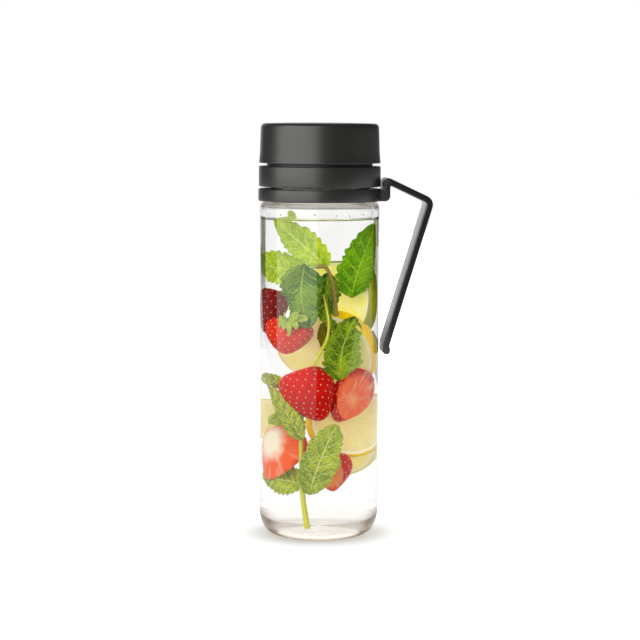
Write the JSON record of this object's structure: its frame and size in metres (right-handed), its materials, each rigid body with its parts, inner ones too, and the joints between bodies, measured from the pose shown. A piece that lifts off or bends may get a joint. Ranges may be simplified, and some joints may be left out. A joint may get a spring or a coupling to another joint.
{
  "type": "infuser water bottle",
  "caption": "Clear glass water bottle with a screw-on strainer collar, a screw cap and a flat hooked carry handle on a loose neck ring.",
  "frame": {"origin": "middle of the flat underside of the glass base, on the surface the bottle stands on", "axes": "+Z is the bottle's axis, up; +X points from the axis to the carry handle as it hangs in the picture"},
  "size_m": [0.096, 0.068, 0.2291],
  "materials": {
    "clear_glass": "clear, polished",
    "grey_plastic": "dark grey, satin",
    "inner_plastic": "near black, moulded",
    "seal_silicone": "soft grey silicone"
  },
  "bodies": {
    "bottle": {"glass_bottle": "clear_glass"},
    "handle": {"carry_handle": "grey_plastic"},
    "collar_carrier": {"collar_seal": "seal_silicone"},
    "collar": {"collar_core": "inner_plastic", "collar_shell": "grey_plastic"},
    "strainer": {"strainer": "inner_plastic"},
    "cap_carrier": {"cap_seal": "seal_silicone"},
    "cap": {"cap_shell": "grey_plastic", "cap_insert": "inner_plastic"}
  },
  "joints": [
    {"name": "handle_swivel", "type": "hinge", "parent": "bottle", "child": "handle", "pos_m": [0, 0, 0.1895], "axis": [0, 0, 1], "continuous": true},
    {"name": "collar_lift", "type": "slide", "parent": "bottle", "child": "collar_carrier", "axis": [0, 0, 1], "range_m": [0, 0.018]},
    {"name": "collar_turn", "type": "hinge", "parent": "collar_carrier", "child": "collar", "pos_m": [0, 0, 0.1995], "axis": [0, 0, 1], "range_deg": [0, 540]},
    {"name": "strainer_pull", "type": "slide", "parent": "collar", "child": "strainer", "axis": [0, 0, -1], "range_m": [0, 0.012]},
    {"name": "cap_lift", "type": "slide", "parent": "collar", "child": "cap_carrier", "axis": [0, 0, 1], "range_m": [0, 0.024]},
    {"name": "cap_turn", "type": "hinge", "parent": "cap_carrier", "child": "cap", "pos_m": [0, 0, 0.2175], "axis": [0, 0, 1], "range_deg": [0, 720]}
  ],
  "couplings": [
    {"joint": "collar_turn", "follows": "collar_lift", "rad_per_m": 523.6},
    {"joint": "cap_turn", "follows": "cap_lift", "rad_per_m": 523.6}
  ]
}
